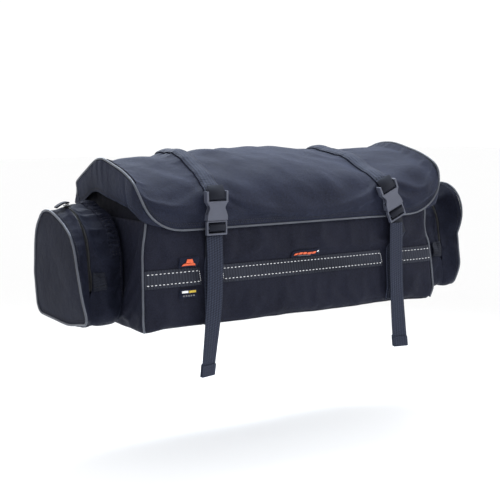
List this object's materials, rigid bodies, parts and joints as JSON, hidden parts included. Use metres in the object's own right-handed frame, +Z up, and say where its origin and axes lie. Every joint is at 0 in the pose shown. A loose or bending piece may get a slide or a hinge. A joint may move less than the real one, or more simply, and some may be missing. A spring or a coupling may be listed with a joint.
{
  "type": "motorcycle tail bag",
  "caption": "Soft motorcycle tail bag with a domed, hinged lid, buckled lid straps, reflective trim and a zipped pocket at each end.",
  "frame": {"origin": "centre of the flat underside of the main bag", "axes": "+X along the bag's length to its right, +Y from its front to its back, +Z up"},
  "size_m": [0.6596, 0.2463, 0.3098],
  "materials": {
    "body_nylon": "woven coated nylon, matt",
    "collar_nylon": "thin woven nylon, crumpled",
    "lid_nylon": "woven coated nylon, soft sheen",
    "pocket_nylon": "woven coated nylon, matt",
    "webbing": "ribbed nylon webbing",
    "reflective_band": "ribbed webbing with two lines of pale reflective stitches",
    "reflective_piping": "grey reflective piping, satin",
    "buckle_plastic": "moulded acetal, fine grain",
    "label": "woven damask label",
    "zip": "coil zip and slider",
    "zip_pull": "folded webbing pull",
    "hinge_tape": "bound seam tape",
    "stiffener": "sheet stiffener"
  },
  "bodies": {
    "bag": {"body_shell": "body_nylon", "collar": "collar_nylon", "base_board": "stiffener", "lid_hinge_tape": "hinge_tape", "piping_front_left": "reflective_piping", "piping_front_right": "reflective_piping", "piping_back_left": "reflective_piping", "piping_back_right": "reflective_piping", "band_left": "reflective_band", "band_middle": "reflective_band", "band_right": "reflective_band", "label_upper_left": "label", "label_lower_left": "label", "label_middle": "label", "strap_lower_left": "webbing", "strap_lower_right": "webbing", "pocket_left_cup": "pocket_nylon", "pocket_left_gather": "pocket_nylon", "pocket_left_piping_base": "reflective_piping", "pocket_left_zip_inner": "zip", "pocket_left_tab": "webbing", "pocket_right_cup": "pocket_nylon", "pocket_right_gather": "pocket_nylon", "pocket_right_piping_base": "reflective_piping", "pocket_right_zip_inner": "zip", "pocket_right_tab": "webbing"},
    "lid": {"lid_cover": "lid_nylon", "lid_board": "stiffener", "lid_piping": "reflective_piping", "lid_skirt_left": "lid_nylon", "lid_skirt_right": "lid_nylon", "strap_upper_left": "webbing", "strap_upper_right": "webbing", "strap_eye_left": "webbing", "strap_eye_right": "webbing", "buckle_female_left": "buckle_plastic", "buckle_female_right": "buckle_plastic"},
    "buckle_left": {"buckle_male_left": "buckle_plastic", "strap_loop_left": "webbing"},
    "prong_left_inner": {"buckle_prong_left_inner": "buckle_plastic"},
    "prong_left_outer": {"buckle_prong_left_outer": "buckle_plastic"},
    "tail_left": {"strap_tail_left": "webbing"},
    "flap_left": {"pocket_left_flap": "pocket_nylon", "pocket_left_piping_arch": "reflective_piping", "pocket_left_zip_outer": "zip"},
    "slider_left": {"pocket_left_slider": "zip"},
    "pull_left": {"pocket_left_pull": "zip_pull"},
    "buckle_right": {"buckle_male_right": "buckle_plastic", "strap_loop_right": "webbing"},
    "prong_right_inner": {"buckle_prong_right_inner": "buckle_plastic"},
    "prong_right_outer": {"buckle_prong_right_outer": "buckle_plastic"},
    "tail_right": {"strap_tail_right": "webbing"},
    "flap_right": {"pocket_right_flap": "pocket_nylon", "pocket_right_piping_arch": "reflective_piping", "pocket_right_zip_outer": "zip"},
    "slider_right": {"pocket_right_slider": "zip"},
    "pull_right": {"pocket_right_pull": "zip_pull"}
  },
  "joints": [
    {"name": "lid_hinge", "type": "hinge", "parent": "bag", "child": "lid", "pos_m": [0, 0.114, 0.16], "axis": [-1, 0, 0], "range_deg": [0, 110]},
    {"name": "buckle_left_release", "type": "slide", "parent": "bag", "child": "buckle_left", "axis": [0, 0, -1], "range_m": [0, 0.03]},
    {"name": "prong_left_inner_flex", "type": "hinge", "parent": "buckle_left", "child": "prong_left_inner", "pos_m": [-0.1565, -0.1255, 0.1485], "axis": [0, 1, 0], "range_deg": [0, 8], "stiffness_Nm_per_rad": 0.05},
    {"name": "prong_left_outer_flex", "type": "hinge", "parent": "buckle_left", "child": "prong_left_outer", "pos_m": [-0.1395, -0.1255, 0.1485], "axis": [0, -1, 0], "range_deg": [0, 8], "stiffness_Nm_per_rad": 0.05},
    {"name": "tail_left_swing", "type": "hinge", "parent": "buckle_left", "child": "tail_left", "pos_m": [-0.148, -0.1209, 0.1272], "axis": [-1, 0, 0], "range_deg": [0, 75]},
    {"name": "flap_left_fold", "type": "hinge", "parent": "bag", "child": "flap_left", "pos_m": [-0.328, 0.008, 0.055], "axis": [0, -1, 0], "range_deg": [0, 70]},
    {"name": "slider_left_travel", "type": "hinge", "parent": "bag", "child": "slider_left", "pos_m": [-0.3054, 0.008, 0.09437], "axis": [1, 0, 0], "range_deg": [-62, 62]},
    {"name": "pull_left_flip", "type": "hinge", "parent": "slider_left", "child": "pull_left", "pos_m": [-0.3044, 0.008, 0.16878], "axis": [0, 1, 0], "range_deg": [0, 150]},
    {"name": "buckle_right_release", "type": "slide", "parent": "bag", "child": "buckle_right", "axis": [0.4067, 0, -0.9135], "range_m": [0, 0.03]},
    {"name": "prong_right_inner_flex", "type": "hinge", "parent": "buckle_right", "child": "prong_right_inner", "pos_m": [0.14964, -0.1255, 0.14768], "axis": [0, 1, 0], "range_deg": [0, 8], "stiffness_Nm_per_rad": 0.05},
    {"name": "prong_right_outer_flex", "type": "hinge", "parent": "buckle_right", "child": "prong_right_outer", "pos_m": [0.16517, -0.1255, 0.15459], "axis": [0, -1, 0], "range_deg": [0, 8], "stiffness_Nm_per_rad": 0.05},
    {"name": "tail_right_swing", "type": "hinge", "parent": "buckle_right", "child": "tail_right", "pos_m": [0.16607, -0.1209, 0.12578], "axis": [-1, 0, 0], "range_deg": [0, 75]},
    {"name": "flap_right_fold", "type": "hinge", "parent": "bag", "child": "flap_right", "pos_m": [0.328, 0.008, 0.055], "axis": [0, 1, 0], "range_deg": [0, 70]},
    {"name": "slider_right_travel", "type": "hinge", "parent": "bag", "child": "slider_right", "pos_m": [0.3054, 0.008, 0.09437], "axis": [1, 0, 0], "range_deg": [-62, 62]},
    {"name": "pull_right_flip", "type": "hinge", "parent": "slider_right", "child": "pull_right", "pos_m": [0.3044, 0.008, 0.16878], "axis": [0, -1, 0], "range_deg": [0, 150]}
  ]
}
